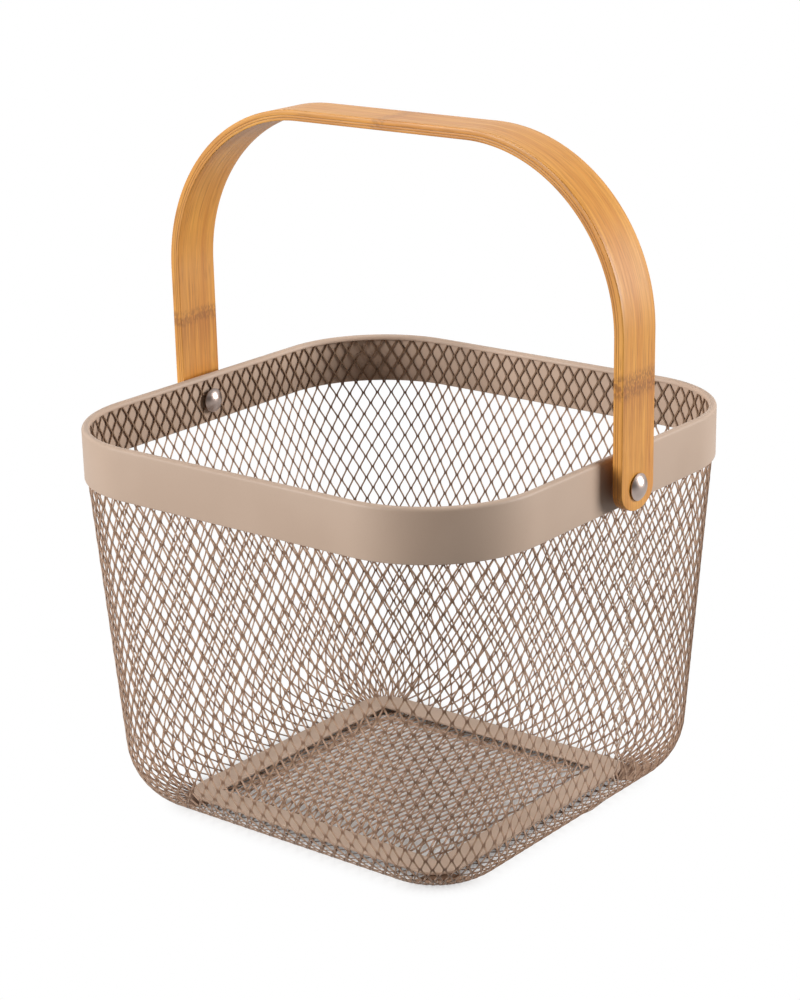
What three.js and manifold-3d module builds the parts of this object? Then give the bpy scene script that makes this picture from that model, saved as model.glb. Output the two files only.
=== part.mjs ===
// A metal storage basket: an expanded-metal tub under a rolled sheet-steel rim band, with a bent
// bamboo handle that swings on two cap rivets. Millimetres, +Z up. The origin is on the surface the
// basket stands on, in the middle of its plan, and the handle's pivots lie along X.
import * as THREE from "three";
import { mergeVertices } from "three/addons/utils/BufferGeometryUtils.js";
import Module from "manifold-3d";

const wasm = await Module();
wasm.setup();

// Rim band and plan, over the band's outer face
const rimWidth = 250;
const rimDepth = 246;
const bodyHeight = 196;
const planCornerRadius = 57;
const bandHeight = 25.5;
const bandThickness = 1.2;
const beadDiameter = 4.8;
const beadLipLength = 1.6;

// Wall mesh: one sheet behind the band, tapering down, then curved in to the floor
const meshThickness = 1.2;
const bandToMesh = 0.5;
const floorInset = 51; // from the rim's outer face to where the floor is flat
const floorCurveRadius = 40.6;
const floorFlange = 5; // flat edge of the wall sheet that the basket stands on
const hiddenEdge = 5; // plain edge under the base frame, past the flange
const topEdge = 4.3; // plain edge of the wall sheet inside the bead

// Diamond gaps of the wall mesh. A gap is one column wide and two rows high.
const straightColumns = 5;
const cornerColumns = 3;
const gapRows = 8;
const curvedRows = 2; // rows of strands that bend round the floor curve
const bondWidthShare = 0.075; // half width of a bond, of a column
const bondHeightShare = 0.12; // half height of a bond, of a row

// Floor: mesh panel on the wall sheet's edge, and the flat frame that clamps it
const panelThickness = 1.2;
const frameWidth = 14;
const frameThickness = 1.6;
const frameOverhang = 7.7; // frame outside the flat floor
const frameEdge = 0.4; // edge rounding of the frame strip
const panelGapColumns = 8;
const panelGapRows = 7;
const panelGapShare = 0.76; // gap's size, of its place in the pattern

// Bamboo handle: three plies glued face to face, legs outside the band
const handleWidth = 26;
const handleCornerRadius = 85; // outer face
const handleRise = 154; // pivot to the top face
const outerPly = 2.4;
const middlePly = 0.6;
const innerPly = 1.4;
const legStandOff = 4; // band's outer face to the handle's inner face
const legEndBelowPivot = 11;
const legEndRounding = 10;

// Cap rivets and the spacers between band and legs
const pivotBelowRim = 14;
const postDiameter = 6;
const headDiameter = 13.5;
const headHeight = 3.2;
const capDiameter = 13;
const capHeight = 3.2;
const headEdge = 0.6; // straight edge under each dome
const postEngagement = 1.5; // post inside its cap
const spacerDiameter = 12;

// Clearances
const jointGap = 0.3; // between pieces that touch
const boreGap = 0.3; // round the post in each hole
const overrun = 2; // of cutting solids past what they cut
const smallestRadius = 0.5; // of a plan corner

// Round stretches
const cornerSteps = 8;
const beadSteps = 6;
const handleSteps = 10;
const domeSteps = 4;
const roundSides = 20;

const pivotHeight = bodyHeight - pivotBelowRim;
const handleThickness = innerPly + middlePly + outerPly + 2 * jointGap;
const handleInnerX = rimWidth / 2 + legStandOff;
const handleOuterX = handleInnerX + handleThickness;

const finishes = {
  coatedSteel: { color: 0xbfa58f, roughness: 0.55, metalness: 0.1 },
  coatedMesh: { color: 0xa98a75, roughness: 0.6, metalness: 0.1 },
  bamboo: { color: 0xd9a25e, roughness: 0.5, metalness: 0 },
  satinSteel: { color: 0xb5aca4, roughness: 0.3, metalness: 1 },
  nylon: { color: 0x2b2826, roughness: 0.6, metalness: 0 },
};

const basket = new THREE.Group();

function addPiece(name, geometry, finish) {
  const piece = new THREE.Mesh(geometry, new THREE.MeshStandardMaterial(finishes[finish]));
  piece.name = name;
  basket.add(piece);
  return piece;
}

// Closed solids for cuts, and back
function solidOf(geometry) {
  const bare = geometry.clone();
  bare.deleteAttribute("normal");
  bare.deleteAttribute("uv");
  const merged = mergeVertices(bare);
  const vertProperties = new Float32Array(merged.attributes.position.array);
  const triVerts = new Uint32Array(merged.index.array);
  return new wasm.Manifold(new wasm.Mesh({ numProp: 3, vertProperties, triVerts }));
}

function geometryOf(solid) {
  const { vertProperties, triVerts } = solid.getMesh();
  const geometry = new THREE.BufferGeometry();
  geometry.setAttribute("position", new THREE.BufferAttribute(vertProperties, 3));
  geometry.setIndex(new THREE.BufferAttribute(triVerts, 1));
  geometry.computeVertexNormals();
  return geometry;
}

// The plan is a rounded rectangle. Each inset from the band's outer face keeps its straight sides
// and takes the inset off its corner radius. A quarter is one side and the corner after it, and they
// run anticlockwise from the +X side. sideShare runs from -1 to 1 along the side.
function planPoint(quarter, inset, sideShare, cornerAngle) {
  const radius = Math.max(planCornerRadius - inset, smallestRadius);
  const reach = [rimWidth / 2 - inset - radius, rimDepth / 2 - inset - radius];
  if (quarter % 2) reach.reverse();
  const x = reach[0] + radius * Math.cos(cornerAngle);
  const y = reach[1] * sideShare + radius * Math.sin(cornerAngle);
  return new THREE.Vector2(x, y).rotateAround(new THREE.Vector2(), (quarter * Math.PI) / 2);
}

// A ring round the plan, from a closed profile of [inset, height] points
function planRing(profile) {
  const stations = [];
  for (let quarter = 0; quarter < 4; quarter++) {
    for (let step = 0; step <= cornerSteps; step++) {
      stations.push([quarter, (step / cornerSteps) * (Math.PI / 2)]);
    }
  }
  const positions = [];
  const faces = [];
  stations.forEach(([quarter, cornerAngle], place) => {
    const next = (place + 1) % stations.length;
    profile.forEach(([inset, height], row) => {
      const point = planPoint(quarter, inset, 1, cornerAngle);
      positions.push(point.x, point.y, height);
      const above = (row + 1) % profile.length;
      const corners = [place * profile.length + row, next * profile.length + row];
      corners.push(next * profile.length + above, place * profile.length + above);
      faces.push(corners[0], corners[1], corners[2], corners[0], corners[2], corners[3]);
    });
  });
  const geometry = new THREE.BufferGeometry();
  geometry.setAttribute("position", new THREE.Float32BufferAttribute(positions, 3));
  geometry.setIndex(faces);
  geometry.computeVertexNormals();
  return geometry;
}

function makeRimBand() {
  const foot = bodyHeight - bandHeight;
  const beadRadius = beadDiameter / 2;
  const beadHeight = bodyHeight - beadRadius;
  const lip = beadHeight - beadLipLength;
  const profile = [
    [bandThickness, foot],
    [0, foot],
  ];
  for (let step = 0; step <= beadSteps; step++) {
    const angle = Math.PI * (1 - step / beadSteps);
    profile.push([
      beadRadius + beadRadius * Math.cos(angle),
      beadHeight + beadRadius * Math.sin(angle),
    ]);
  }
  profile.push([beadDiameter, lip], [beadDiameter - bandThickness, lip]);
  const hollow = beadRadius - bandThickness;
  for (let step = 0; step <= beadSteps; step++) {
    const angle = (Math.PI * step) / beadSteps;
    profile.push([beadRadius + hollow * Math.cos(angle), beadHeight + hollow * Math.sin(angle)]);
  }
  const bore = new THREE.CylinderGeometry(
    postDiameter / 2 + boreGap,
    postDiameter / 2 + boreGap,
    rimWidth + 2 * overrun,
    roundSides,
  );
  bore.rotateZ(Math.PI / 2).translate(0, 0, pivotHeight);
  const bored = solidOf(planRing(profile)).subtract(solidOf(bore));
  return addPiece("rim_band", geometryOf(bored), "coatedSteel");
}

// The wall sheet's profile, by distance from its inner edge on the floor. It lies flat, bends up
// round the floor curve, rises along the taper and stands straight behind the band.
const wallProfile = (() => {
  const outerInset = bandThickness + bandToMesh;
  const knee = new THREE.Vector2(outerInset, bodyHeight - bandHeight);
  const centre = new THREE.Vector2(floorInset, floorCurveRadius);
  const towards = knee.clone().sub(centre);
  const tangentAngle = towards.angle() + Math.acos(floorCurveRadius / towards.length());
  const bend = (3 * Math.PI) / 2 - tangentAngle;
  const taperStart = new THREE.Vector2(floorCurveRadius, 0)
    .rotateAround(new THREE.Vector2(), tangentAngle)
    .add(centre);
  const taperLength = knee.distanceTo(taperStart);
  const curveLength = floorCurveRadius * bend;
  const riseLength = bandHeight - beadDiameter / 2 - jointGap;
  const length = floorFlange + curveLength + taperLength + riseLength;
  const along = knee.clone().sub(taperStart).normalize();

  // The sheet's outer face at this distance, and the way to its inner face
  function pointAt(distance) {
    if (distance <= floorFlange) {
      const point = new THREE.Vector2(floorInset + floorFlange - distance, 0);
      return { point, inward: new THREE.Vector2(0, 1) };
    }
    const turned = (distance - floorFlange) / floorCurveRadius;
    if (turned < bend) {
      const out = new THREE.Vector2(0, -1).rotateAround(new THREE.Vector2(), -turned);
      const point = centre.clone().addScaledVector(out, floorCurveRadius);
      return { point, inward: out.negate() };
    }
    const rise = distance - floorFlange - curveLength;
    if (rise < taperLength) {
      const point = taperStart.clone().addScaledVector(along, rise);
      return { point, inward: new THREE.Vector2(along.y, -along.x) };
    }
    const point = knee.clone().add(new THREE.Vector2(0, rise - taperLength));
    return { point, inward: new THREE.Vector2(1, 0) };
  }
  return { pointAt, length };
})();

// A flat pattern of faces in column and row, given thickness by a function that places a column and
// row on the sheet's outer or inner face
function sheetSolid(patternFaces, wrap, place) {
  const numbers = new Map();
  const spots = [];
  const numberOf = ([column, row]) => {
    const around = ((column % wrap) + wrap) % wrap;
    const key = `${around.toFixed(6)} ${row.toFixed(6)}`;
    if (!numbers.has(key)) {
      numbers.set(key, spots.length);
      spots.push([around, row]);
    }
    return numbers.get(key);
  };
  const triangles = [];
  for (const face of patternFaces) {
    const corners = face.map(numberOf);
    for (let third = 2; third < corners.length; third++) {
      triangles.push([corners[0], corners[third - 1], corners[third]]);
    }
  }
  const edges = new Set();
  for (const [a, b, c] of triangles) {
    edges.add(`${a} ${b}`).add(`${b} ${c}`).add(`${c} ${a}`);
  }
  const faces = [];
  const inner = spots.length;
  for (const [a, b, c] of triangles) {
    faces.push(a, b, c, inner + a, inner + c, inner + b);
  }
  for (const edge of edges) {
    const [a, b] = edge.split(" ").map(Number);
    if (edges.has(`${b} ${a}`)) continue;
    faces.push(b, a, inner + a, b, inner + a, inner + b);
  }
  const positions = [false, true].flatMap((isInner) =>
    spots.flatMap(([column, row]) => place(column, row, isInner)),
  );
  const geometry = new THREE.BufferGeometry();
  geometry.setAttribute("position", new THREE.Float32BufferAttribute(positions, 3));
  geometry.setIndex(faces);
  geometry.computeVertexNormals();
  return geometry;
}

// Faces of a strand between two bonds, from the edge [from, to] to the edge [fromB, toB]
function strandFaces(from, to, fromB, toB, steps) {
  const faces = [];
  const between = (a, b, share) => [a[0] + (b[0] - a[0]) * share, a[1] + (b[1] - a[1]) * share];
  for (let step = 0; step < steps; step++) {
    const low = step / steps;
    const high = (step + 1) / steps;
    faces.push([
      between(from, to, low),
      between(from, to, high),
      between(fromB, toB, high),
      between(fromB, toB, low),
    ]);
  }
  return faces;
}

function makeWallMesh() {
  const quarterColumns = straightColumns + cornerColumns;
  const columns = 4 * quarterColumns;
  const lowestBond = floorFlange + hiddenEdge;
  const highestBond = wallProfile.length - topEdge;
  const rowLength = (highestBond - lowestBond) / gapRows;
  const rowOf = (distance) => (distance - lowestBond) / rowLength;
  const faces = [];
  const bond = (column, row) => ({
    left: [column - bondWidthShare, row],
    right: [column + bondWidthShare, row],
    top: [column, row + bondHeightShare],
    bottom: [column, row - bondHeightShare],
  });
  for (let row = 0; row <= gapRows; row++) {
    for (let number = 0; number < columns; number++) {
      const column = number + (row % 2) / 2;
      const { left, right, top, bottom } = bond(column, row);
      if (row === 0) faces.push([left, right, top]);
      else if (row === gapRows) faces.push([left, bottom, right]);
      else faces.push([left, bottom, right, top]);
      if (row === gapRows) continue;
      const steps = row < curvedRows ? 2 : 1;
      const rightBond = bond(column + 1 / 2, row + 1);
      const leftBond = bond(column - 1 / 2, row + 1);
      faces.push(...strandFaces(right, rightBond.bottom, top, rightBond.left, steps));
      faces.push(...strandFaces(top, leftBond.right, left, leftBond.bottom, steps));
    }
  }
  // Plain strips above and below the gaps. The one in the bead has a middle step in each column,
  // which keeps it round in the corners.
  const strips = [
    { low: rowOf(0), high: rowOf(floorFlange), steps: [] },
    { low: rowOf(floorFlange), high: 0, steps: [] },
    { low: gapRows, high: rowOf(wallProfile.length), steps: [1 / 2] },
  ];
  for (const { low, high, steps } of strips) {
    const ends = [-bondWidthShare, bondWidthShare, ...steps, 1 - bondWidthShare];
    for (let number = 0; number < columns; number++) {
      for (let part = 1; part < ends.length; part++) {
        const [start, end] = [number + ends[part - 1], number + ends[part]];
        faces.push([[start, low], [end, low], [end, high], [start, high]]);
      }
    }
  }
  const geometry = sheetSolid(faces, columns, (column, row, isInner) => {
    const quarter = Math.floor(column / quarterColumns);
    const within = column - quarter * quarterColumns;
    const { point, inward } = wallProfile.pointAt(lowestBond + row * rowLength);
    if (isInner) point.addScaledVector(inward, meshThickness);
    const sideShare = Math.min((2 * within) / straightColumns - 1, 1);
    const cornerShare = Math.max((within - straightColumns) / cornerColumns, 0);
    const spot = planPoint(quarter, point.x, sideShare, (cornerShare * Math.PI) / 2);
    return [spot.x, spot.y, point.y];
  });
  return addPiece("wall_mesh", geometry, "coatedMesh");
}

function planShape(inset) {
  const radius = Math.max(planCornerRadius - inset, smallestRadius);
  const x = rimWidth / 2 - inset - radius;
  const y = rimDepth / 2 - inset - radius;
  const shape = new THREE.Shape();
  shape.absarc(x, y, radius, 0, Math.PI / 2);
  shape.absarc(-x, y, radius, Math.PI / 2, Math.PI);
  shape.absarc(-x, -y, radius, Math.PI, (3 * Math.PI) / 2);
  shape.absarc(x, -y, radius, (3 * Math.PI) / 2, 2 * Math.PI);
  return shape;
}

const frameOuterInset = floorInset - frameOverhang;
const frameInnerInset = frameOuterInset + frameWidth;
const panelHeight = meshThickness + jointGap;
const frameHeight = panelHeight + panelThickness + jointGap;

function makeBaseMesh() {
  const gapWidth = (rimWidth - 2 * frameInnerInset) / panelGapColumns;
  const gapHeight = (rimDepth - 2 * frameInnerInset) / (panelGapRows + 1);
  const halfWidth = (gapWidth * panelGapShare) / 2;
  const halfHeight = gapHeight * panelGapShare;
  const gaps = [];
  for (let row = 0; row < panelGapRows; row++) {
    const rowGaps = panelGapColumns - (row % 2);
    for (let number = 0; number < rowGaps; number++) {
      const x = (number - (rowGaps - 1) / 2) * gapWidth;
      const y = (row - (panelGapRows - 1) / 2) * gapHeight;
      const gap = new THREE.Shape();
      gap.moveTo(x + halfWidth, y);
      gap.lineTo(x, y + halfHeight);
      gap.lineTo(x - halfWidth, y);
      gap.lineTo(x, y - halfHeight);
      gaps.push(gap);
    }
  }
  const panel = new THREE.ExtrudeGeometry(planShape(floorInset + jointGap), {
    depth: panelThickness,
    bevelEnabled: false,
    curveSegments: cornerSteps,
  });
  const cuts = new THREE.ExtrudeGeometry(gaps, {
    depth: panelThickness + 2 * overrun,
    bevelEnabled: false,
  });
  cuts.translate(0, 0, -overrun);
  const geometry = geometryOf(solidOf(panel).subtract(solidOf(cuts)));
  geometry.translate(0, 0, panelHeight);
  return addPiece("base_mesh", geometry, "coatedMesh");
}

function makeBaseFrame() {
  const top = frameHeight + frameThickness;
  const profile = [
    [frameOuterInset, top - frameEdge],
    [frameOuterInset + frameEdge, top],
    [frameInnerInset - frameEdge, top],
    [frameInnerInset, top - frameEdge],
    [frameInnerInset, frameHeight + frameEdge],
    [frameInnerInset - frameEdge, frameHeight],
    [frameOuterInset + frameEdge, frameHeight],
    [frameOuterInset, frameHeight + frameEdge],
  ];
  return addPiece("base_frame", planRing(profile), "coatedSteel");
}

// One ply of the handle, its outer face at this depth below the handle's outer face
function makePly(name, depth, thickness) {
  const low = pivotHeight - legEndBelowPivot - overrun;
  const arcX = handleOuterX - handleCornerRadius;
  const arcHeight = pivotHeight + handleRise - handleCornerRadius;
  const outer = handleCornerRadius - depth;
  const inner = outer - thickness;
  const strap = new THREE.Shape();
  strap.moveTo(arcX + outer, low);
  strap.lineTo(arcX + outer, arcHeight);
  strap.absarc(arcX, arcHeight, outer, 0, Math.PI / 2);
  strap.absarc(-arcX, arcHeight, outer, Math.PI / 2, Math.PI);
  strap.lineTo(-arcX - outer, low);
  strap.lineTo(-arcX - inner, low);
  strap.absarc(-arcX, arcHeight, inner, Math.PI, Math.PI / 2, true);
  strap.absarc(arcX, arcHeight, inner, Math.PI / 2, 0, true);
  strap.lineTo(arcX + inner, low);
  const bent = new THREE.ExtrudeGeometry(strap, {
    depth: handleWidth,
    bevelEnabled: false,
    curveSegments: handleSteps,
  });
  bent.rotateX(Math.PI / 2).translate(0, handleWidth / 2, 0);

  // The leg ends and the post holes, seen along X
  const side = new THREE.Shape();
  const endHeight = pivotHeight - legEndBelowPivot + legEndRounding;
  const widest = handleWidth / 2 + overrun;
  side.moveTo(widest, endHeight);
  side.lineTo(widest, pivotHeight + handleRise + overrun);
  side.lineTo(-widest, pivotHeight + handleRise + overrun);
  side.lineTo(-widest, endHeight);
  side.absellipse(0, endHeight, handleWidth / 2, legEndRounding, Math.PI, 2 * Math.PI);
  const hole = new THREE.Path();
  hole.absarc(0, pivotHeight, postDiameter / 2 + boreGap, 0, 2 * Math.PI);
  side.holes.push(hole);
  const spread = handleOuterX + overrun;
  const trimmed = new THREE.ExtrudeGeometry(side, {
    depth: 2 * spread,
    bevelEnabled: false,
    curveSegments: handleSteps,
  });
  trimmed.rotateX(Math.PI / 2).rotateZ(Math.PI / 2).translate(-spread, 0, 0);
  const ply = solidOf(bent).intersect(solidOf(trimmed));
  return addPiece(name, geometryOf(ply), "bamboo");
}

function makeHandle() {
  makePly("handle_outer_ply", 0, outerPly);
  makePly("handle_middle_ply", outerPly + jointGap, middlePly);
  makePly("handle_inner_ply", outerPly + middlePly + 2 * jointGap, innerPly);
}

// A low dome on a short straight edge, from its top on the axis to its flat side
function domeProfile(diameter, height) {
  const rise = height - headEdge;
  const radius = diameter / 2;
  const sphere = (radius * radius + rise * rise) / (2 * rise);
  const halfAngle = Math.asin(radius / sphere);
  const profile = [];
  for (let step = 0; step <= domeSteps; step++) {
    const angle = (halfAngle * step) / domeSteps;
    profile.push(
      new THREE.Vector2(sphere * Math.sin(angle), height - sphere * (1 - Math.cos(angle))),
    );
  }
  profile.push(new THREE.Vector2(radius, 0));
  return profile;
}

// Turns a lathed piece, made along Y, to point out along X at the pivot, on one side
function seatOnPivot(geometry, distance, isRight) {
  geometry.rotateZ(-Math.PI / 2).translate(distance, 0, pivotHeight);
  if (!isRight) geometry.rotateZ(Math.PI);
  return geometry;
}

const capFaceX = rimWidth / 2 - bandThickness - bandToMesh - meshThickness - jointGap;
const headFaceX = handleOuterX + jointGap;

function makeRivet(side, isRight) {
  const postLength = headFaceX - capFaceX + postEngagement;
  const head = domeProfile(headDiameter, headHeight);
  head.push(new THREE.Vector2(postDiameter / 2, 0));
  head.push(new THREE.Vector2(postDiameter / 2, -postLength));
  head.push(new THREE.Vector2(0, -postLength));
  const headGeometry = new THREE.LatheGeometry(head.reverse(), roundSides);
  addPiece(`rivet_${side}`, seatOnPivot(headGeometry, headFaceX, isRight), "satinSteel");

  const cap = domeProfile(capDiameter, capHeight);
  cap.push(new THREE.Vector2(postDiameter / 2 + boreGap, 0));
  cap.push(new THREE.Vector2(postDiameter / 2 + boreGap, postEngagement + jointGap));
  cap.push(new THREE.Vector2(0, postEngagement + jointGap));
  const capGeometry = new THREE.LatheGeometry(cap.reverse(), roundSides);
  capGeometry.rotateZ(Math.PI);
  addPiece(`rivet_cap_${side}`, seatOnPivot(capGeometry, capFaceX, isRight), "satinSteel");
}

function makeSpacer(side, isRight) {
  const bore = postDiameter / 2 + boreGap;
  const thickness = legStandOff - 2 * jointGap;
  const profile = [
    new THREE.Vector2(bore, 0),
    new THREE.Vector2(spacerDiameter / 2, 0),
    new THREE.Vector2(spacerDiameter / 2, thickness),
    new THREE.Vector2(bore, thickness),
    new THREE.Vector2(bore, 0),
  ];
  const geometry = new THREE.LatheGeometry(profile, roundSides);
  addPiece(`spacer_${side}`, seatOnPivot(geometry, rimWidth / 2 + jointGap, isRight), "nylon");
}

makeRimBand();
makeWallMesh();
makeBaseMesh();
makeBaseFrame();
makeHandle();
for (const side of ["right", "left"]) {
  makeRivet(side, side === "right");
  makeSpacer(side, side === "right");
}

export default basket;
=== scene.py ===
import math

import bmesh
import bpy
from mathutils import Matrix, Vector


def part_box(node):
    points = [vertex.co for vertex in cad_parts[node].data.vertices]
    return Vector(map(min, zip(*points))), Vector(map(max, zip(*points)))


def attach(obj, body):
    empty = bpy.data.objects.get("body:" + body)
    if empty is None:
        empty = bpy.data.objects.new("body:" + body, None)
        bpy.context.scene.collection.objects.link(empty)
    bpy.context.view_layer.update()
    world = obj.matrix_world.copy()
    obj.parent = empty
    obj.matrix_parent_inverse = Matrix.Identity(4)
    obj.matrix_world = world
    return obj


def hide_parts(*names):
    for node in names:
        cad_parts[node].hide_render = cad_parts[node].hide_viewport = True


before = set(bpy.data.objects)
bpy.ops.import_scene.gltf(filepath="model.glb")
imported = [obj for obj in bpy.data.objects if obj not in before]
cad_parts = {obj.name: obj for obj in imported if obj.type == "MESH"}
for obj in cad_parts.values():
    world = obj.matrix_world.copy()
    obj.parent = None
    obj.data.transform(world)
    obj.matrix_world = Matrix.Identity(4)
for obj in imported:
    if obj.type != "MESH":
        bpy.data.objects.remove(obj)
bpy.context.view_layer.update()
mm = 0.001
weldGap = 0.01 * mm  # points closer than this are one point
hair = 0.001 * mm  # slack when places are compared
creaseAngle = math.radians(35)  # edges folded more than this are drawn sharp

# Sizes that several pieces share, read from the frame where it has them
bandLow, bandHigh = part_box("rim_band")
plyLow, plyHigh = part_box("handle_outer_ply")
headLow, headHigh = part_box("rivet_right")
plan = {
    "halfWidth": bandHigh.x,
    "halfDepth": bandHigh.y,
    "cornerRadius": 57 * mm,
    "top": bandHigh.z,
    "bandFoot": bandLow.z,
}
pivotHeight = (headLow.z + headHigh.z) / 2


def smooth(share):
    share = min(max(share, 0), 1)
    return share * share * (3 - 2 * share)


def turned(vector, angle):
    return Matrix.Rotation(angle, 2) @ vector


def arcPoints(centre, radius, startAngle, endAngle, steps):
    # points of an arc in a flat profile, ends included
    points = []
    for step in range(steps + 1):
        angle = startAngle + (endAngle - startAngle) * step / steps
        points.append((centre[0] + radius * math.cos(angle), centre[1] + radius * math.sin(angle)))
    return points


def newVerts(result, key="geom"):
    return [item for item in result[key] if isinstance(item, bmesh.types.BMVert)]


def newEdges(result, key="geom"):
    return [item for item in result[key] if isinstance(item, bmesh.types.BMEdge)]


def finishPiece(bm, name, body, nodes, material, smoothShade=True):
    # welds, turns the faces outwards and makes the object, then ties it to its body and hides its
    # nodes
    bmesh.ops.remove_doubles(bm, verts=bm.verts, dist=hair)
    bmesh.ops.recalc_face_normals(bm, faces=bm.faces)
    for face in bm.faces:
        face.smooth = smoothShade
    if smoothShade:
        for edge in bm.edges:
            folded = len(edge.link_faces) == 2 and edge.calc_face_angle(0) > creaseAngle
            edge.smooth = not folded
    mesh = bpy.data.meshes.new(name)
    bm.to_mesh(mesh)
    bm.free()
    piece = bpy.data.objects.new(name, mesh)
    bpy.context.scene.collection.objects.link(piece)
    mesh.materials.append(material)
    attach(piece, body)
    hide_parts(*nodes)
    print("made", name, len(mesh.polygons), "faces")


class Signal:
    # an output socket; a sum on it adds its Math node
    def __init__(self, finish, socket):
        self.finish = finish
        self.socket = socket

    def calc(self, operation, *inputs):
        return self.finish.add("ShaderNodeMath", {"operation": operation}, dict(enumerate(inputs)))

    def __add__(self, other):
        return self.calc("ADD", self, other)

    def __radd__(self, other):
        return self.calc("ADD", other, self)

    def __sub__(self, other):
        return self.calc("SUBTRACT", self, other)

    def __rsub__(self, other):
        return self.calc("SUBTRACT", other, self)

    def __mul__(self, other):
        return self.calc("MULTIPLY", self, other)

    def __rmul__(self, other):
        return self.calc("MULTIPLY", other, self)


class Finish:
    # a material, or the world, while its nodes are laid
    def __init__(self, owner):
        self.owner = owner
        owner.use_nodes = True
        self.tree = owner.node_tree
        self.tree.nodes.clear()

    def add(self, kind, settings=None, values=None, output=0):
        # settings come first, because some change the node's sockets
        node = self.tree.nodes.new(kind)
        for name, setting in (settings or {}).items():
            setattr(node, name, setting)
        for name, value in (values or {}).items():
            if isinstance(value, Signal):
                self.tree.links.new(value.socket, node.inputs[name])
            else:
                node.inputs[name].default_value = value
        return Signal(self, node.outputs[output]) if node.outputs else None

    def blend(self, factor, first, second):
        values = {0: factor, 6: first, 7: second}
        return self.add("ShaderNodeMix", {"data_type": "RGBA"}, values, 2)

    def noise(self, vector, scale, detail, roughness=0.5):
        values = {"Vector": vector, "Scale": scale, "Detail": detail, "Roughness": roughness}
        return self.add("ShaderNodeTexNoise", None, values)

    def between(self, value, low, high, outLow=0, outHigh=1):
        values = {"Value": value, 1: low, 2: high, 3: outLow, 4: outHigh}
        return self.add("ShaderNodeMapRange", {"interpolation_type": "SMOOTHSTEP"}, values)

    def vector(self, operation, first, second=None, output=0):
        values = {0: first} if second is None else {0: first, 1: second}
        return self.add("ShaderNodeVectorMath", {"operation": operation}, values, output)

    def rays(self):
        # the camera, glossy and transmission rays of the light path
        node = self.add("ShaderNodeLightPath").socket.node
        names = ("Is Camera Ray", "Is Glossy Ray", "Is Transmission Ray")
        return [Signal(self, node.outputs[name]) for name in names]

    def surface(self, values):
        shader = self.add("ShaderNodeBsdfPrincipled", None, values)
        self.add("ShaderNodeOutputMaterial", None, {"Surface": shader})
        return self.owner


def rgb(red, green, blue):
    # a colour written as it shows on screen, 0 to 255
    linear = [((level / 255 + 0.055) / 1.055) ** 2.4 for level in (red, green, blue)]
    return (*linear, 1)


# Powder coat of the band, the floor frame and the mesh
coat = {
    "colour": rgb(197, 172, 152),
    "shade": rgb(186, 160, 140),
    # the mesh's colours are the band's coat drawn darker and warmer: painted shade for the strands'
    # self-shadowing
    "meshShadedColour": rgb(184, 151, 127),
    "meshShadedMottle": rgb(169, 137, 113),
    "bondPaintedShade": rgb(134, 103, 81),
    # painted shade on the mesh close behind the band: its colour, share and fade
    "rimPaintedShade": rgb(124, 99, 76),
    "rimShadeShare": 0.72,
    "rimShadeFade": (-0.5 * mm, 1.5 * mm),  # heights from the band's foot
    "cloudScale": 22,
    "cloudRange": (0.35, 0.7),
    "cloudShare": 0.5,
    "speckScale": 1600,
    "speckRange": (0.5, 0.8),
    "speckShare": 0.25,
    "peelScale": 900,
    "peelDepth": 0.01 * mm,
    "peelStrength": 0.5,
    "roughness": 0.48,
    "roughnessSwing": 0.06,
    "gloss": 0.35,
}


def powderCoat(name, colour, shade, bondPaintedShade=None):
    finish = Finish(bpy.data.materials.new(name))
    place = finish.add("ShaderNodeTexCoord", None, None, 3)
    cloud = finish.between(finish.noise(place, coat["cloudScale"], 2), *coat["cloudRange"])
    speck = finish.between(finish.noise(place, coat["speckScale"], 2), *coat["speckRange"])
    mottle = cloud * coat["cloudShare"] + speck * coat["speckShare"]
    colour = finish.blend(mottle, colour, shade)
    if bondPaintedShade:
        # painted shade: the mesh sheet's bonds are drawn darker, where the coat lies in shade
        # between strands
        bond = finish.add("ShaderNodeAttribute", {"attribute_name": "bond"}, None, 2)
        colour = finish.blend(bond, colour, bondPaintedShade)
        # painted shade: close behind the band the sheet lies in shade all round, so its coat is
        # drawn darker there by height
        height = finish.add("ShaderNodeSeparateXYZ", None, {"Vector": place}, 2)
        low, high = (plan["bandFoot"] + offset for offset in coat["rimShadeFade"])
        behind = finish.between(height, low, high)
        colour = finish.blend(behind * coat["rimShadeShare"], colour, coat["rimPaintedShade"])
    peel = finish.noise(place, coat["peelScale"], 2)
    bump = {"Height": peel, "Strength": coat["peelStrength"], "Distance": coat["peelDepth"]}
    return finish.surface({
        "Base Color": colour,
        "Roughness": cloud * coat["roughnessSwing"] + coat["roughness"],
        "Specular IOR Level": coat["gloss"],
        "Normal": finish.add("ShaderNodeBump", None, bump),
    })


bandCoat = powderCoat("bandCoat", coat["colour"], coat["shade"])
# the mesh's coat is a darker copy of the band's coat, with painted shade
meshShadedCoat = powderCoat("meshShadedCoat", coat["meshShadedColour"], coat["meshShadedMottle"], coat["bondPaintedShade"])


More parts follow.
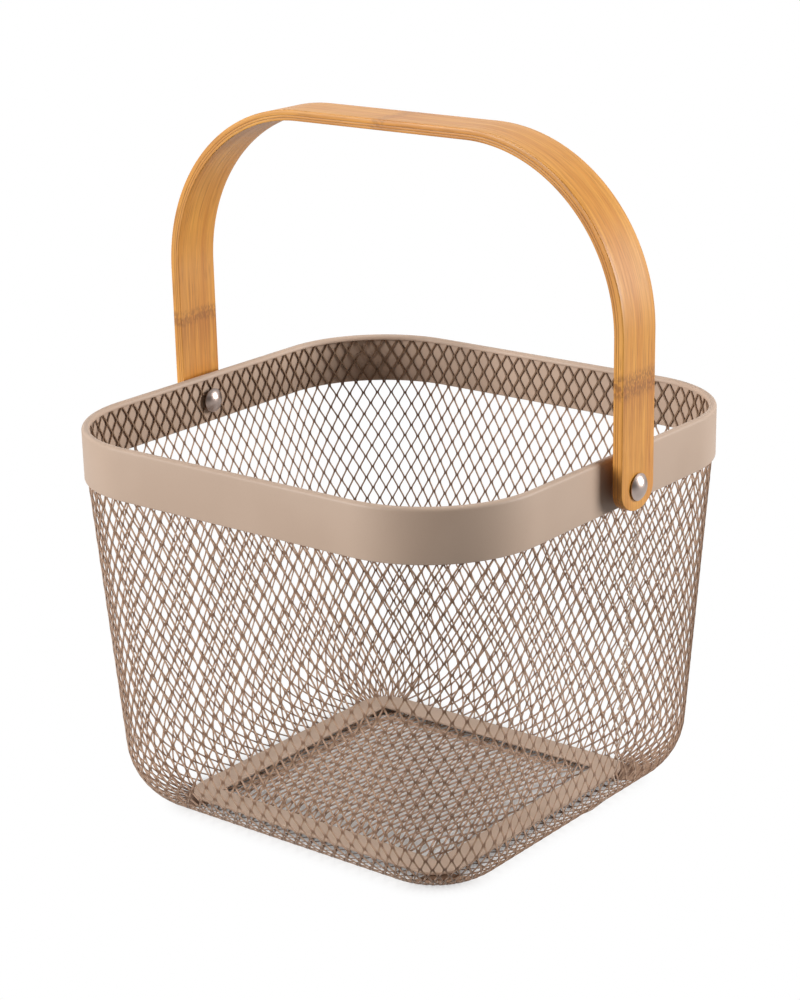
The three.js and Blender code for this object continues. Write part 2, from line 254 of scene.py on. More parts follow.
def sweepRing(profile, cornerRadius, outerInset, cornerSteps):
    # sweeps a closed profile of (inset, height) points round the plan; its corner centres lie
    # cornerRadius inside outerInset
    reachX = plan["halfWidth"] - outerInset - cornerRadius
    reachY = plan["halfDepth"] - outerInset - cornerRadius
    bm = bmesh.new()
    verts = [bm.verts.new((plan["halfWidth"] - inset, -reachY, height))
             for inset, height in profile]
    edges = [bm.edges.new((verts[number - 1], verts[number])) for number in range(len(verts))]
    corners = ((reachX, reachY), (-reachX, reachY), (-reachX, -reachY), (reachX, -reachY))
    for number, corner in enumerate(corners):
        before = Vector((*corners[number - 1], 0))
        straight = bmesh.ops.extrude_edge_only(bm, edges=edges)
        bmesh.ops.translate(bm, verts=newVerts(straight), vec=Vector((*corner, 0)) - before)
        bend = bmesh.ops.spin(
            bm, geom=newEdges(straight), cent=(*corner, 0), axis=(0, 0, 1),
            angle=math.pi / 2, steps=cornerSteps, use_merge=False,
        )
        edges = newEdges(bend, "geom_last")
    return bm


rim = {
    "thickness": 1.1 * mm,
    "bead": 3.8 * mm,
    "lip": 0.7 * mm,
    "cornerSteps": 40,
    "beadSteps": 20,
    "hollowSteps": 12,
    "footSteps": 6,
    "lipSteps": 4,
}


def makeRimBand():
    # up the outside from the hemmed foot, over the bead to its lip, and back inside the bead
    radius = rim["bead"] / 2
    centre = (radius, plan["top"] - radius)
    lip = centre[1] - rim["lip"]
    hollow = radius - rim["thickness"]
    hem = rim["thickness"] / 2
    foot = (hem, plan["bandFoot"] + hem)
    profile = arcPoints(foot, hem, 0, -math.pi, rim["footSteps"])
    profile += arcPoints(centre, radius, math.pi, 0, rim["beadSteps"])
    profile += arcPoints((rim["bead"] - hem, lip + hem), hem, 0, -math.pi, rim["lipSteps"])
    profile += arcPoints(centre, hollow, 0, math.pi, rim["hollowSteps"])
    bm = sweepRing(profile, plan["cornerRadius"], 0, rim["cornerSteps"])
    finishPiece(bm, "rimBand", "basket", ["rim_band"], bandCoat)


makeRimBand()

frameLow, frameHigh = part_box("base_frame")
floorFrame = {
    "width": 14 * mm,
    "edge": 0.5 * mm,
    "edgeSteps": 4,
    "innerCorner": 1.2 * mm,
    "cornerSteps": 20,
}


def makeFloorFrame():
    # a flat strip with rounded edges
    edge = floorFrame["edge"]
    outer = plan["halfWidth"] - frameHigh.x
    near, far = outer + edge, outer + floorFrame["width"] - edge
    low, high = frameLow.z + edge, frameHigh.z - edge
    quarters = (
        ((near, high), math.pi, math.pi / 2),
        ((far, high), math.pi / 2, 0),
        ((far, low), 0, -math.pi / 2),
        ((near, low), -math.pi / 2, -math.pi),
    )
    profile = []
    for centre, start, end in quarters:
        profile += arcPoints(centre, edge, start, end, floorFrame["edgeSteps"])
    radius = floorFrame["width"] + floorFrame["innerCorner"]
    bm = sweepRing(profile, radius, outer, floorFrame["cornerSteps"])
    finishPiece(bm, "floorFrame", "basket", ["base_frame"], bandCoat)


makeFloorFrame()

# Expanded metal: slanted ribbons joined at bonds, laid flat first, then wrapped or pressed
stock = {
    "ribbonWidth": 0.84 * mm,
    "thickness": 0.46 * mm,
    "tilt": math.radians(-8),
    "bondHeight": 0.9 * mm,
    "strandSteps": 4,
    "ease": 0.2,  # 0 for straight strands, 1 for fully curved ones
}


def layMesh(columns, rows, firstColumn, pitch, rowHeight, tilt):
    # x along the sheet, y up it, z out of it; the lateral layer holds how far a vertex lies
    # beside its strand's own line, so that corners crowd the strands without thinning them
    bm = bmesh.new()
    lateral = bm.verts.layers.float.new("lateral")
    across = stock["ribbonWidth"] * math.cos(tilt)
    out = stock["ribbonWidth"] * math.sin(tilt)
    verts = []
    for side in (-1, 0, 1):
        vert = bm.verts.new((side * across, 0, side * out))
        vert[lateral] = side * across
        verts.append(vert)
    edges = [bm.edges.new(verts[:2]), bm.edges.new(verts[1:])]
    bond = bmesh.ops.extrude_edge_only(bm, edges=edges)
    bmesh.ops.translate(bm, verts=newVerts(bond), vec=(0, stock["bondHeight"], 0))
    tops = sorted(newEdges(bond), key=lambda edge: sum(vert.co.x for vert in edge.verts))
    steps = stock["strandSteps"]
    rise = (rowHeight - stock["bondHeight"]) / steps
    for side, edge in zip((-1, 1), tops):
        done = 0
        for step in range(1, steps + 1):
            share = step / steps
            eased = share + (smooth(share) - share) * stock["ease"]
            moved = eased - done
            done = eased
            strand = bmesh.ops.extrude_edge_only(bm, edges=[edge])
            edge = newEdges(strand)[0]
            shift = (side * (pitch / 2 - across) * moved, rise, -side * out * moved)
            bmesh.ops.translate(bm, verts=newVerts(strand), vec=shift)
            for vert in newVerts(strand):
                vert[lateral] -= side * across * moved
    bond = bm.verts.layers.float.new("bond")
    for vert in bm.verts:
        within = min(vert.co.y - stock["bondHeight"], rowHeight - vert.co.y)
        vert[bond] = 1 if within < weldGap else 0
    cell = bm.verts[:] + bm.edges[:] + bm.faces[:]
    for row in range(1, rows):
        copy = bmesh.ops.duplicate(bm, geom=cell)
        shift = (row % 2 * pitch / 2, row * rowHeight, 0)
        bmesh.ops.translate(bm, verts=newVerts(copy), vec=shift)
    column = bm.verts[:] + bm.edges[:] + bm.faces[:]
    for number in range(1, columns):
        copy = bmesh.ops.duplicate(bm, geom=column)
        bmesh.ops.translate(bm, verts=newVerts(copy), vec=(number * pitch, 0, 0))
    bmesh.ops.translate(bm, verts=bm.verts, vec=(firstColumn * pitch, 0, 0))
    bmesh.ops.remove_doubles(bm, verts=bm.verts, dist=weldGap)
    return bm


def thicken(bm, tilt):
    # half the sheet's thickness to each side of where it was laid
    lateral = bm.verts.layers.float["lateral"]
    thickness = stock["thickness"]
    solid = bmesh.ops.extrude_face_region(bm, geom=bm.faces[:])
    offset = Vector((-thickness * math.sin(tilt), 0, thickness * math.cos(tilt)))
    bmesh.ops.translate(bm, verts=newVerts(solid), vec=offset)
    for vert in newVerts(solid):
        vert[lateral] += offset.x
    bmesh.ops.translate(bm, verts=bm.verts, vec=-offset / 2)
    for vert in bm.verts:
        vert[lateral] -= offset.x / 2


wall = {
    "columns": 116,
    "rows": 38,
    "pitch": 7.6 * mm,
    "behindBand": 1.4 * mm,
    "floorInset": 48 * mm,  # of the floor curve's centre
    "floorCurve": 36 * mm,
    "flange": 8 * mm,
    "flangeFade": 15 * mm,
    "topGap": 3 * mm,
    "pressed": 0.35,  # the sheet's share of its thickness where it lies on the flange
}


def planFrame(share):
    # the plan's anchor and outward direction at this share of the way round, from the start of
    # the right side
    radius = plan["cornerRadius"]
    reachX = plan["halfWidth"] - radius
    reachY = plan["halfDepth"] - radius
    corner = (radius - wall["behindBand"]) * math.pi / 2
    lengths = [2 * reachY, corner, 2 * reachX, corner, 2 * reachY, corner, 2 * reachX, corner]
    distance = (share % 1) * sum(lengths)
    for number, length in enumerate(lengths):
        if distance <= length:
            break
        distance -= length
    quarter = number // 2
    outward = turned(Vector((1, 0)), quarter * math.pi / 2)
    along = turned(outward, math.pi / 2)
    far, side = (reachX, reachY) if quarter % 2 == 0 else (reachY, reachX)
    if number % 2 == 0:
        return outward * far + along * (distance - side), outward
    return outward * far + along * side, turned(outward, distance / length * math.pi / 2)


def wallShape():
    # the wall sheet's outer face as (inset, height) by distance from its inner edge, with the
    # way in
    knee = Vector((wall["behindBand"], plan["bandFoot"]))
    centre = Vector((wall["floorInset"], wall["floorCurve"]))
    towards = knee - centre
    aside = math.acos(wall["floorCurve"] / towards.length)
    tangentAngle = math.atan2(towards.y, towards.x) % (2 * math.pi) + aside
    bend = 1.5 * math.pi - tangentAngle
    taperStart = centre + turned(Vector((wall["floorCurve"], 0)), tangentAngle)
    taperLength = (knee - taperStart).length
    rising = (knee - taperStart).normalized()
    curveLength = wall["floorCurve"] * bend
    length = wall["flange"] + curveLength + taperLength + plan["top"] - wall["topGap"] - knee.y

    def pointAt(distance):
        if distance <= wall["flange"]:
            return Vector((wall["floorInset"] + wall["flange"] - distance, 0)), Vector((0, 1))
        angle = (distance - wall["flange"]) / wall["floorCurve"]
        if angle < bend:
            outward = turned(Vector((0, -1)), -angle)
            return centre + outward * wall["floorCurve"], -outward
        rise = distance - wall["flange"] - curveLength
        if rise < taperLength:
            return taperStart + rising * rise, Vector((rising.y, -rising.x))
        return knee + Vector((0, rise - taperLength)), Vector((1, 0))

    return pointAt, length


wallPoint, wallLength = wallShape()
rowHeight = wallLength / wall["rows"]
sheetHalf = (stock["ribbonWidth"] * abs(math.sin(stock["tilt"]))
             + stock["thickness"] * math.cos(stock["tilt"]) / 2)


def wrapWall(bm, inwards=0):
    # brings the flat sheet round the plan and down the wall's profile
    lateral = bm.verts.layers.float["lateral"]
    for vert in bm.verts:
        share = (vert.co.x - vert[lateral]) / (wall["columns"] * wall["pitch"])
        anchor, direction = planFrame(share)
        point, inward = wallPoint(min(max(vert.co.y, 0), wallLength))
        flatness = smooth((vert.co.y - wall["flange"]) / wall["flangeFade"])
        press = wall["pressed"] + (1 - wall["pressed"]) * flatness
        point = point + inward * (sheetHalf - vert.co.z + inwards) * press
        spot = anchor + direction * (plan["cornerRadius"] - point.x)
        spot += turned(direction, math.pi / 2) * vert[lateral]
        vert.co = (spot.x, spot.y, point.y)


def makeWalls():
    perSide = wall["columns"] // 4
    for number, side in enumerate(("Right", "Back", "Left", "Front")):
        first = number * perSide
        bm = layMesh(perSide, wall["rows"], first, wall["pitch"], rowHeight, stock["tilt"])
        thicken(bm, stock["tilt"])
        wrapWall(bm)
        finishPiece(bm, "wallMesh" + side, "basket", ["wall_mesh"], meshShadedCoat, False)


makeWalls()

seam = {
    "column": 10.55,
    "firstRow": 4,
    "belowBand": 1 * mm,
    "inwards": -0.68 * mm,
    "slack": 0.1 * mm,
}


def makeSeam():
    # the cut edge of the sheet's lapped end: one wavy chain of strands, out of step with the wall
    rows = wall["rows"] - seam["firstRow"]
    bm = layMesh(1, rows, seam["column"], wall["pitch"], rowHeight, stock["tilt"])
    left = seam["column"] * wall["pitch"] - stock["ribbonWidth"]
    right = left + wall["pitch"] / 2 + 2 * stock["ribbonWidth"]
    low, high = left - seam["slack"], right + seam["slack"]
    loose = [vert for vert in bm.verts if not low < vert.co.x < high]
    bmesh.ops.delete(bm, geom=loose, context="VERTS")
    bmesh.ops.translate(bm, verts=bm.verts, vec=(0, seam["firstRow"] * rowHeight, 0))
    top = wallLength - (plan["top"] - wall["topGap"] - plan["bandFoot"]) - seam["belowBand"]
    above = [vert for vert in bm.verts if vert.co.y > top]
    bmesh.ops.delete(bm, geom=above, context="VERTS")
    thicken(bm, stock["tilt"])
    wrapWall(bm, seam["inwards"])
    # the seam keeps the band's coat, without the mesh's painted shade
    finishPiece(bm, "wallSeam", "basket", ["wall_mesh"], bandCoat, False)


makeSeam()

# The floor's own sheet is finer, with a raised middle
floor = {
    "pitch": 5.4 * mm,
    "rowHeight": 6.6 * mm,
    "tilt": math.radians(-50),
    "halfWidth": 73 * mm,
    "halfDepth": 71 * mm,
    "low": 1.35 * mm,
    "rise": 2.4 * mm,
    "riseStart": 4 * mm,
    "riseEnd": 14 * mm,
    "cornerRadius": 16 * mm,
    "pressed": 0.45,  # its share of its thickness under the frame
}


def makeFloorMesh():
    columns = math.ceil(2 * floor["halfWidth"] / floor["pitch"]) + 2
    rows = math.ceil(2 * floor["halfDepth"] / floor["rowHeight"]) + 1
    bm = layMesh(columns, rows, -columns / 2, floor["pitch"], floor["rowHeight"], floor["tilt"])
    bmesh.ops.translate(bm, verts=bm.verts, vec=(0, -rows * floor["rowHeight"] / 2, 0))
    for normal, reach in (((1, 0, 0), floor["halfWidth"]), ((0, 1, 0), floor["halfDepth"])):
        for sign in (-1, 1):
            way = Vector(normal) * sign
            bmesh.ops.bisect_plane(
                bm, geom=bm.verts[:] + bm.edges[:] + bm.faces[:],
                plane_co=way * reach, plane_no=way, clear_outer=True,
            )
    thicken(bm, floor["tilt"])
    frameEdge = Vector((frameHigh.x - floorFrame["width"], frameHigh.y - floorFrame["width"]))
    corner = frameEdge - Vector((floor["cornerRadius"], floor["cornerRadius"]))
    lowest = min(vert.co.z for vert in bm.verts)
    for vert in bm.verts:
        # distance inside a rounded rectangle on the frame's inner edge
        past = Vector((max(abs(vert.co.x) - corner.x, 0), max(abs(vert.co.y) - corner.y, 0)))
        nearSide = min(frameEdge.x - abs(vert.co.x), frameEdge.y - abs(vert.co.y))
        inCorner = past.x > 0 and past.y > 0
        inside = floor["cornerRadius"] - past.length if inCorner else nearSide
        share = smooth((inside - floor["riseStart"]) / (floor["riseEnd"] - floor["riseStart"]))
        fullness = smooth(inside / floor["riseStart"])
        press = floor["pressed"] + (1 - floor["pressed"]) * fullness
        vert.co.z = floor["low"] + (vert.co.z - lowest) * press + floor["rise"] * share
    finishPiece(bm, "floorMesh", "basket", ["base_mesh"], meshShadedCoat, False)


makeFloorMesh()

bamboo = {
    "pale": rgb(235, 168, 73),
    "warm": rgb(217, 144, 53),
    "dark": rgb(172, 102, 34),
    "knuckle": rgb(134, 78, 20),
    # streaks: lengthwise and crosswise scale, detail
    "broad": (9, 160, 2),
    "fine": (24, 750, 3),
    "fibre": (60, 1400, 2),
    "wobble": (30, 240, 2),
    "dash": (420, 1100, 1),
    "streakRoughness": 0.6,
    "softRange": (0.3, 0.7),
    "fibreRange": (0.52, 0.72),
    "dashRange": (0.42, 0.56),
    "fineShare": 0.42,
    "fibreShare": 0.38,
    "glueLines": (2.41 * mm, 3.59 * mm),  # depths below the handle's outer face
    "glueFade": (0.3 * mm, 0.08 * mm),
    "glueShare": 0.5,
    "roughness": 0.42,
    "roughnessSwing": 0.1,
    "lacquer": 0.15,
    "lacquerRoughness": 0.25,
    "fineHeight": 0.6,
    "fibreHeight": -0.4,
    "bumpStrength": 0.25,
    "bumpDepth": 0.05 * mm,
}
knuckles = {
    # place along the handle from its middle, strength with the side its streaks run to, width
    "marks": ((0.0, 0.5, 1), (-0.208, -0.8, 1), (0.2035, 0.95, 1.5)),
    "wander": 5 * mm,
    "beltFrom": 5 * mm,
    "beltTo": 2 * mm,
    "beltShare": 0.12,
    "dashShare": 0.55,
    "streakStart": 1 * mm,
    "streakLength": 26 * mm,
}


def bambooFinish(name, darker):
    finish = Finish(bpy.data.materials.new(name))
    grain = finish.add("ShaderNodeAttribute", {"attribute_name": "grain"}, None, 1)

    def streaks(kind):
        lengthwise, crosswise, detail = bamboo[kind]
        stretch = {"Vector": grain, "Scale": (lengthwise, crosswise, crosswise / 2)}
        placed = finish.add("ShaderNodeMapping", {"vector_type": "POINT"}, stretch)
        return finish.noise(placed, 1, detail, bamboo["streakRoughness"])

    broad = finish.between(streaks("broad"), *bamboo["softRange"])
    fine = finish.between(streaks("fine"), *bamboo["softRange"])
    fibre = finish.between(streaks("fibre"), *bamboo["fibreRange"])
    tone = finish.blend(broad, bamboo["pale"], bamboo["warm"])
    tone = finish.blend(fine * bamboo["fineShare"], tone, bamboo["dark"])
    tone = finish.blend(fibre * bamboo["fibreShare"], tone, bamboo["knuckle"])
    along = finish.add("ShaderNodeSeparateXYZ", None, {"Vector": grain})
    depth = Signal(finish, along.socket.node.outputs[2])
    for level in bamboo["glueLines"]:
        away = depth.calc("ABSOLUTE", depth - level)
        line = finish.between(away, *bamboo["glueFade"])
        tone = finish.blend(line * bamboo["glueShare"], tone, bamboo["knuckle"])
    # the cane's knuckles: a belt of short dark dashes, with darker streaks running out on one side
    wobble = streaks("wobble") * knuckles["wander"]
    dashes = finish.between(streaks("dash"), *bamboo["dashRange"])
    dashes = dashes * knuckles["dashShare"] + knuckles["beltShare"]
    for place, lean, width in knuckles["marks"]:
        offset = along + wobble - (place + knuckles["wander"] / 2)
        aside = offset.calc("ABSOLUTE", offset)
        belt = finish.between(aside, knuckles["beltFrom"] * width, knuckles["beltTo"] * width)
        ahead = offset * math.copysign(1, lean)
        fade = finish.between(ahead, 0, knuckles["streakLength"], 1, 0)
        beside = fade * finish.between(ahead, -knuckles["streakStart"], 0)
        tone = finish.blend(beside * fine * abs(lean), tone, bamboo["dark"])
        tone = finish.blend(belt * dashes * abs(lean), tone, bamboo["knuckle"])
    tone = finish.blend(darker, tone, bamboo["knuckle"])
    bump = {
        "Height": fine * bamboo["fineHeight"] + fibre * bamboo["fibreHeight"],
        "Strength": bamboo["bumpStrength"],
        "Distance": bamboo["bumpDepth"],
    }
    return finish.surface({
        "Base Color": tone,
        "Roughness": fine * bamboo["roughnessSwing"] + bamboo["roughness"],
        "Coat Weight": bamboo["lacquer"],
        "Coat Roughness": bamboo["lacquerRoughness"],
        "Normal": finish.add("ShaderNodeBump", None, bump),
    })


handle = {
    "cornerRadius": 85 * mm,
    "tipRadius": 10 * mm,
    "holeRadius": 3.3 * mm,
    "endLength": 30 * mm,
    "roundSides": 32,
    "steps": 90,
    "edgeSegments": 3,
    "edgeAngle": math.radians(60),  # edges folded more than this are rounded
}
plies = (
    # piece, node, depth below the outer face, thickness, outer and inner edge rounding, darkening
    ("handleOuterPly", "handle_outer_ply", 0, 2.4 * mm, 0.45 * mm, 0.1 * mm, 0),
    ("handleMiddlePly", "handle_middle_ply", 2.42 * mm, 1.16 * mm, 0.06 * mm, 0.06 * mm, 0),
    ("handleInnerPly", "handle_inner_ply", 3.6 * mm, 1.4 * mm, 0.1 * mm, 0.35 * mm, 0.06),
)


def strapOutline(angle, length, halfWidth):
    # the leg end's outline by angle, 0 towards the handle's middle: a straight row, two sides and
    # an oval tip
    turn = abs(angle)
    side = math.copysign(1, angle)
    quarter = math.pi / 2
    if turn <= quarter / 2 + 1e-6:
        return length, side * halfWidth * turn / (quarter / 2)
    if turn <= quarter:
        share = (turn - quarter / 2) / (quarter / 2)
        return length + (handle["tipRadius"] - length) * share, side * halfWidth
    swing = turn - quarter
    return handle["tipRadius"] * (1 - math.sin(swing)), side * halfWidth * math.cos(swing)


def strapPlace(along, depth):
    # x and z on the handle by distance from the leg's tip along the outer face, and depth below
    # that face
    radius = handle["cornerRadius"]
    outer, top, tip = plyHigh.x, plyHigh.z, plyLow.z
    leg = top - radius - tip
    arc = radius * math.pi / 2
    if along <= leg:
        return outer - depth, tip + along
    if along <= leg + arc:
        angle = (along - leg) / radius
        reach = radius - depth
        return outer - radius + reach * math.cos(angle), top - radius + reach * math.sin(angle)
    return outer - radius - (along - leg - arc), top - depth


def makePly(name, node, depth, thickness, outerEdge, innerEdge, darker):
    # laid out flat from the leg's tip to the handle's middle, mirrored, thickened and bent
    radius, endLength = handle["cornerRadius"], handle["endLength"]
    half = radius * math.pi / 2 + plyHigh.z - 2 * radius + plyHigh.x - plyLow.z
    halfWidth = plyHigh.y
    pivot = pivotHeight - plyLow.z
    bm = bmesh.new()
    sides = handle["roundSides"]
    hole = bmesh.ops.create_circle(bm, segments=sides, radius=handle["holeRadius"])
    outline = bmesh.ops.create_circle(bm, segments=sides, radius=halfWidth)
    for vert in hole["verts"]:
        vert.co = (pivot + vert.co.x, vert.co.y, 0)
    for vert in outline["verts"]:
        angle = math.atan2(vert.co.y, vert.co.x)
        vert.co = (*strapOutline(angle, endLength, halfWidth), 0)
    bmesh.ops.bridge_loops(bm, edges=bm.edges[:])
    row = [edge for edge in bm.edges
           if all(vert.co.x > endLength - weldGap for vert in edge.verts)]
    move = (half - endLength) / handle["steps"]
    for step in range(handle["steps"]):
        longer = bmesh.ops.extrude_edge_only(bm, edges=row)
        row = [edge for edge in newEdges(longer)
               if abs(edge.verts[0].co.x - edge.verts[1].co.x) < hair]
        bmesh.ops.translate(bm, verts=newVerts(longer), vec=(move, 0, 0))
    bmesh.ops.translate(bm, verts=bm.verts, vec=(-half, 0, 0))
    everything = bm.verts[:] + bm.edges[:] + bm.faces[:]
    bmesh.ops.mirror(bm, geom=everything, axis="X", merge_dist=weldGap)
    bmesh.ops.recalc_face_normals(bm, faces=bm.faces)
    solid = bmesh.ops.extrude_face_region(bm, geom=bm.faces[:])
    bmesh.ops.translate(bm, verts=newVerts(solid), vec=(0, 0, thickness))
    bmesh.ops.recalc_face_normals(bm, faces=bm.faces)
    for level, size in ((0, outerEdge), (thickness, innerEdge)):
        rims = [edge for edge in bm.edges if len(edge.link_faces) == 2
                and edge.calc_face_angle(0) > handle["edgeAngle"]
                and all(abs(vert.co.z - level) < hair for vert in edge.verts)]
        bmesh.ops.bevel(
            bm, geom=rims, offset=size, affect="EDGES",
            segments=handle["edgeSegments"], profile=0.5, material=-1,
        )
    grain = bm.verts.layers.float_vector.new("grain")
    for vert in bm.verts:
        vert[grain] = (vert.co.x, vert.co.y, vert.co.z + depth)
        x, z = strapPlace(half - abs(vert.co.x), depth + vert.co.z)
        vert.co = (math.copysign(x, vert.co.x), vert.co.y, z)
    finishPiece(bm, name, "handle", [node], bambooFinish(name + "Bamboo", darker))


for ply in plies:
    makePly(*ply)

steel = {
    "colour": rgb(180, 164, 156),
    "smudgeColour": rgb(154, 138, 130),
    "smudgeScale": 160,
    "smudgeRange": (0.35, 0.7),
    "smudgeShare": 0.4,
    "brushScale": 1400,
    "brushDepth": 0.01 * mm,
    "brushStrength": 0.1,
    "roughness": 0.3,
    "roughnessSwing": 0.1,
}


def satinSteel():
    finish = Finish(bpy.data.materials.new("satinSteel"))
    place = finish.add("ShaderNodeTexCoord", None, None, 3)
    smudge = finish.between(finish.noise(place, steel["smudgeScale"], 2), *steel["smudgeRange"])
    bump = {
        "Height": finish.noise(place, steel["brushScale"], 3),
        "Strength": steel["brushStrength"],
        "Distance": steel["brushDepth"],
    }
    return finish.surface({
        "Base Color": finish.blend(
            smudge * steel["smudgeShare"], steel["colour"], steel["smudgeColour"]),
        "Metallic": 1,
        "Roughness": smudge * steel["roughnessSwing"] + steel["roughness"],
        "Normal": finish.add("ShaderNodeBump", None, bump),
    })


steelFinish = satinSteel()

rivet = {
    "share": 0.94,  # of the solid's radius
    "head": 3.2 * mm,
    "edge": 0.6 * mm,
    "edgeShare": 0.3,  # of that edge, taken off where it meets the flat side
    "post": 3 * mm,
    "bore": 3.3 * mm,
    "grip": 1.5 * mm,
    "gripSlack": 0.3 * mm,
    "domeSteps": 12,
    "sides": 48,
}


def domeCurve(radius):
    # a low dome from its top on the axis to its flat side, with a rounded straight edge
    height, edge, steps = rivet["head"], rivet["edge"], rivet["domeSteps"]
    rise = height - edge
    sphere = (radius * radius + rise * rise) / (2 * rise)
    halfAngle = math.asin(radius / sphere)
    points = []
    for step in range(steps + 1):
        angle = halfAngle * step / steps
        points.append((sphere * math.sin(angle), height - sphere * (1 - math.cos(angle))))
    trim = edge * rivet["edgeShare"]
    return points + [(radius, trim), (radius - trim, 0)]


def makeTurned(name, node, profile, seat, outward):
    # profile of (radius, distance from the seat) spun about the handle's axis
    bm = bmesh.new()
    verts = [bm.verts.new((seat + outward * distance, 0, pivotHeight + radius))
             for radius, distance in profile]
    edges = [bm.edges.new(pair) for pair in zip(verts, verts[1:])]
    bmesh.ops.spin(
        bm, geom=edges, cent=(0, 0, pivotHeight), axis=(1, 0, 0),
        angle=2 * math.pi, steps=rivet["sides"], use_merge=True,
    )
    finishPiece(bm, name, "basket", [node], steelFinish)


def makeRivets():
    for side, outward in (("Right", 1), ("Left", -1)):
        rivetNode, capNode = "rivet_" + side.lower(), "rivet_cap_" + side.lower()
        low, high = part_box(rivetNode)
        inner, tip = sorted((abs(low.x), abs(high.x)))
        flat = tip - rivet["head"]
        head = domeCurve((high.z - low.z) / 2 * rivet["share"])
        head += [(rivet["post"], 0), (rivet["post"], inner - flat), (0, inner - flat)]
        makeTurned("rivet" + side, rivetNode, head, outward * flat, outward)
        low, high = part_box(capNode)
        seat = max(high.x, -low.x)
        cap = domeCurve((high.z - low.z) / 2 * rivet["share"])
        socket = rivet["grip"] + rivet["gripSlack"]
        cap += [(rivet["bore"], 0), (rivet["bore"], socket), (0, socket)]
        makeTurned("rivetCap" + side, capNode, cap, outward * seat, -outward)


makeRivets()

# The spacers keep their solids
nylon = {
    "colour": rgb(44, 41, 39),
    "grainColour": rgb(62, 58, 55),
    "grainScale": 700,
    "grainDepth": 0.03 * mm,
    "grainStrength": 0.3,
    "roughness": 0.45,
    "roughnessSwing": 0.15,
}


def nylonFinish():
    finish = Finish(bpy.data.materials.new("nylon"))
    place = finish.add("ShaderNodeTexCoord", None, None, 3)
    grain = finish.noise(place, nylon["grainScale"], 3)
    bump = {"Height": grain, "Strength": nylon["grainStrength"], "Distance": nylon["grainDepth"]}
    return finish.surface({
        "Base Color": finish.blend(grain, nylon["colour"], nylon["grainColour"]),
        "Roughness": grain * nylon["roughnessSwing"] + nylon["roughness"],
        "Normal": finish.add("ShaderNodeBump", None, bump),
    })


spacerFinish = nylonFinish()
for side in ("right", "left"):
    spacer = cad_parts["spacer_" + side]
    spacer.data.materials.clear()
    spacer.data.materials.append(spacerFinish)
print("spacers finished")

studio = {
    "floorRadius": 6,
    "floorSides": 96,
    "floorWhite": 1.0,
    "floorBounce": 0.22,
    "floorGloss": (0.7, 0.15),  # near the basket and far off
    "floorGlossFade": (0.35, 1.1),  # distances from the footprint
    "footprint": (65 * mm, 63 * mm, 0),  # half its width and depth
    "glowFrom": 8 * mm,
    "glowTo": 36 * mm,
    "softLight": 0.04,
    "frontAzimuth": 42,
    "frontGloss": 0.05,
    "frontFade": (-0.65, -0.3),
    "ceilingGloss": 0.45,
    "ceilingFade": (0.34, 0.54),
    "lamps": (
        # name, azimuth, elevation, distance, size, watts
        ("left", -28, 16, 3, 1.2, 90),
        ("right", 124, 16, 3, 1.5, 94),
        ("top", 220, 78, 1.3, 0.5, 6.5),
    ),
}
aim = Vector((0, 0, 0.14))


def wayTo(azimuth, elevation):
    # the direction from the basket; azimuth 0 is its front, elevation 0 is level
    turn, lift = math.radians(azimuth), math.radians(elevation)
    level = math.cos(lift)
    return Vector((math.sin(turn) * level, -math.cos(turn) * level, math.sin(lift)))


def makeFloor():
    bm = bmesh.new()
    bmesh.ops.create_circle(
        bm, cap_ends=True, segments=studio["floorSides"], radius=studio["floorRadius"])
    mesh = bpy.data.meshes.new("studioFloor")
    bm.to_mesh(mesh)
    bm.free()
    floorObject = bpy.data.objects.new("studioFloor", mesh)
    bpy.context.scene.collection.objects.link(floorObject)
    finish = Finish(bpy.data.materials.new("studioFloorWhite"))
    place = finish.add("ShaderNodeTexCoord", None, None, 3)
    # how far a point lies from the basket's footprint: only the floor close to it keeps the shadow
    past = finish.vector("SUBTRACT", finish.vector("ABSOLUTE", place), studio["footprint"])
    away = finish.vector("LENGTH", finish.vector("MAXIMUM", past, (0, 0, 0)), None, 1)
    camera, glossy, clear = finish.rays()
    mirrored = glossy * finish.between(away, *studio["floorGlossFade"], *studio["floorGloss"])
    seen = camera.calc("MAXIMUM", camera, camera.calc("MAXIMUM", mirrored, clear))
    glow = finish.between(away, studio["glowFrom"], studio["glowTo"])
    bounce = (studio["floorBounce"],) * 3 + (1,)
    white = (studio["floorWhite"],) * 3 + (1,)
    colour = finish.blend(seen, bounce, white)
    diffuse = finish.add("ShaderNodeBsdfDiffuse", None, {"Color": colour})
    emission = finish.add("ShaderNodeEmission", None, {"Color": (1, 1, 1, 1), "Strength": 1})
    mixed = finish.add("ShaderNodeMixShader", None, {0: seen * glow, 1: diffuse, 2: emission})
    finish.add("ShaderNodeOutputMaterial", None, {"Surface": mixed})
    mesh.materials.append(finish.owner)


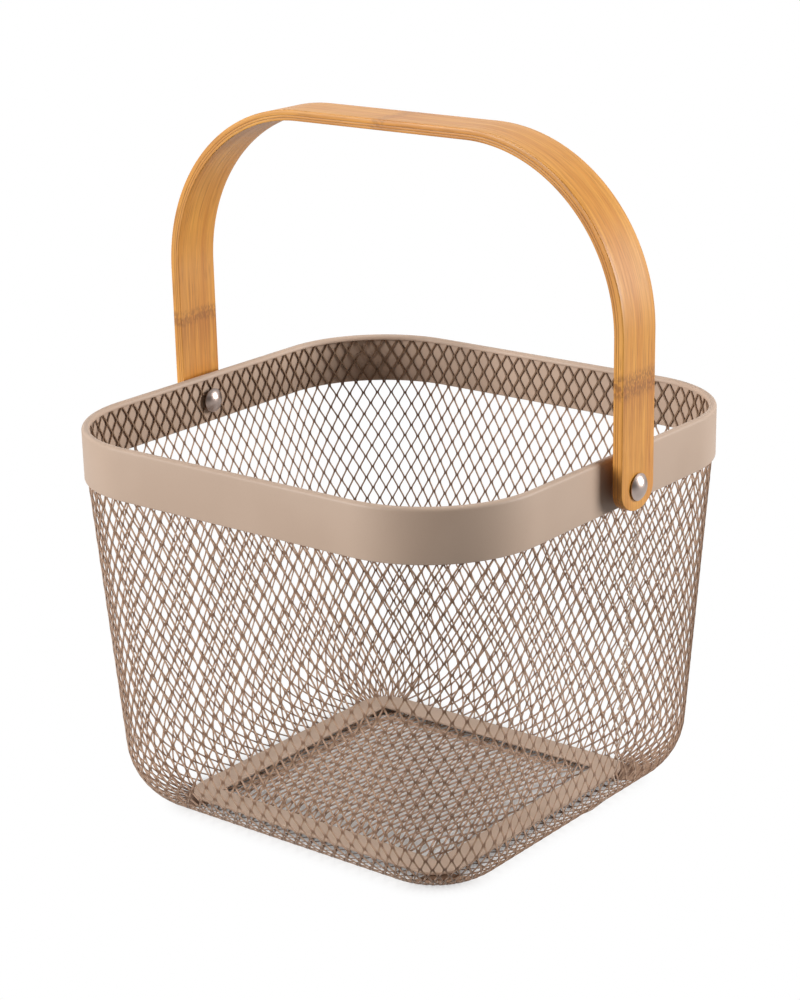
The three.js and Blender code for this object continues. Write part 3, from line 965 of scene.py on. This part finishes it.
def makeLight():
    world = bpy.data.worlds.new("studioWorld")
    bpy.context.scene.world = world
    finish = Finish(world)
    # the camera sees white all round, the light is faint and even, and gloss sees white behind
    # the basket, a grey ceiling and a dark front
    way = finish.add("ShaderNodeTexCoord")
    facing = finish.vector("DOT_PRODUCT", way, wayTo(studio["frontAzimuth"], 0), 1)
    height = finish.vector("DOT_PRODUCT", way, (0, 0, 1), 1)
    shiny = finish.between(facing, *studio["frontFade"], 1, studio["frontGloss"])
    ceiling = finish.between(height, *studio["ceilingFade"], 0, studio["ceilingGloss"])
    shiny = shiny.calc("MAXIMUM", shiny, ceiling)
    camera, glossy, clear = finish.rays()
    gloss = camera.calc("MAXIMUM", glossy, clear)
    light = studio["softLight"] + (shiny - studio["softLight"]) * gloss
    strength = light + (1 - light) * camera
    backdrop = {"Color": (1, 1, 1, 1), "Strength": strength}
    backdrop = finish.add("ShaderNodeBackground", None, backdrop)
    finish.add("ShaderNodeOutputWorld", None, {"Surface": backdrop})
    for name, azimuth, elevation, distance, size, watts in studio["lamps"]:
        lamp = bpy.data.lights.new(name + "Lamp", "AREA")
        lamp.shape = "SQUARE"
        lamp.size = size
        lamp.energy = watts
        lampObject = bpy.data.objects.new(name + "Lamp", lamp)
        bpy.context.scene.collection.objects.link(lampObject)
        back = wayTo(azimuth, elevation)
        lampObject.location = aim + back * distance
        lampObject.rotation_mode = "QUATERNION"
        lampObject.rotation_quaternion = (-back).to_track_quat("-Z", "Y")


view = {
    "azimuth": 38.55,
    "elevation": 19.8,
    "roll": -1.21,
    "distance": 1.1967,
    "aside": -0.0023,
    "height": 0.110,
    "focalPixels": 2447.8,
    "principalPoint": (400, 580),
    "imageSize": (800, 1000),
    "sensor": 36,
    "clip": (0.05, 30),
}


def makeCamera():
    back = wayTo(view["azimuth"], view["elevation"])
    right = Vector((0, 0, 1)).cross(back).normalized()
    up = back.cross(right)
    roll = math.radians(view["roll"])
    tiltedRight = right * math.cos(roll) + up * math.sin(roll)
    tiltedUp = up * math.cos(roll) - right * math.sin(roll)
    place = back * view["distance"] + right * view["aside"] + Vector((0, 0, view["height"]))
    lens = bpy.data.cameras.new("camera")
    longSide = max(view["imageSize"])
    lens.sensor_width = view["sensor"]
    lens.lens = view["focalPixels"] * view["sensor"] / longSide
    lens.shift_x = (view["imageSize"][0] / 2 - view["principalPoint"][0]) / longSide
    lens.shift_y = (view["principalPoint"][1] - view["imageSize"][1] / 2) / longSide
    lens.clip_start, lens.clip_end = view["clip"]
    cameraObject = bpy.data.objects.new("camera", lens)
    bpy.context.scene.collection.objects.link(cameraObject)
    columns = Matrix((tiltedRight, tiltedUp, back)).transposed()
    cameraObject.matrix_world = Matrix.Translation(place) @ columns.to_4x4()
    bpy.context.scene.camera = cameraObject


makeFloor()
makeLight()
makeCamera()
bpy.context.scene.view_settings.view_transform = "Standard"
print("floor, light and camera set")
